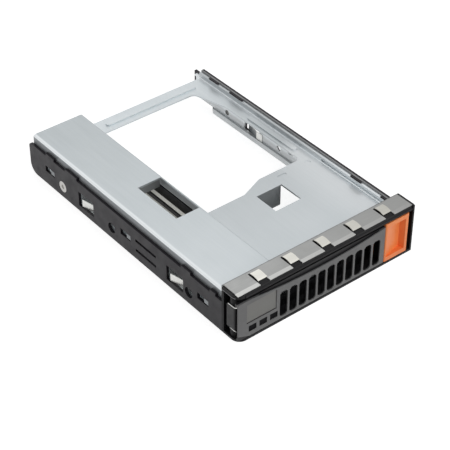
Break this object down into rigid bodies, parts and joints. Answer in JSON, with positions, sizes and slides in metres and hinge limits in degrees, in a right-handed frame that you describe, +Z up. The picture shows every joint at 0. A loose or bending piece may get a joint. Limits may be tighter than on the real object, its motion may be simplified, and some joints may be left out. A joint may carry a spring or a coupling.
{
  "type": "hot swap drive caddy",
  "caption": "Flat drive tray with side rails, an open bay for a small drive and a front bezel with a slotted swing lever and release button.",
  "frame": {"origin": "middle of the rectangle that the caddy stands on", "axes": "+X to the right seen from the front, +Y from the front to the rear, +Z up"},
  "size_m": [0.106, 0.166, 0.0279],
  "materials": {
    "tray_steel": "zinc plated, satin",
    "rail_paint": "black, satin",
    "screw_steel": "nickel plated",
    "spring_steel": "bright",
    "bezel_plastic": "fine grain",
    "lever_plastic": "fine grain",
    "button_plastic": "satin",
    "strip_steel": "satin",
    "clear_plastic": "translucent"
  },
  "bodies": {
    "caddy": {"tray": "tray_steel", "left_rail": "rail_paint", "right_rail": "rail_paint", "left_rail_screw": "screw_steel", "right_rail_screw": "screw_steel", "left_front_leaf": "spring_steel", "left_rear_leaf": "spring_steel", "right_front_leaf": "spring_steel", "right_rear_leaf": "spring_steel", "bezel": "bezel_plastic", "left_bezel_screw": "screw_steel", "right_bezel_screw": "screw_steel", "contact_strip": "strip_steel", "lever_pin": "screw_steel", "lever_spring": "spring_steel", "button_spring": "spring_steel", "upper_pipe": "clear_plastic", "lower_pipe": "clear_plastic", "pipe_channel": "bezel_plastic"},
    "lever": {"lever": "lever_plastic", "lamp_lens": "clear_plastic"},
    "button": {"release_button": "button_plastic"}
  },
  "joints": [
    {"name": "lever_hinge", "type": "hinge", "parent": "caddy", "child": "lever", "pos_m": [-0.05, -0.0776, 0.012], "axis": [0, 0, -1], "range_deg": [0, 70]},
    {"name": "button_slide", "type": "slide", "parent": "caddy", "child": "button", "axis": [1, 0, 0], "range_m": [0, 0.0016], "stiffness_N_per_m": 500, "deforming": ["button_spring"]}
  ]
}
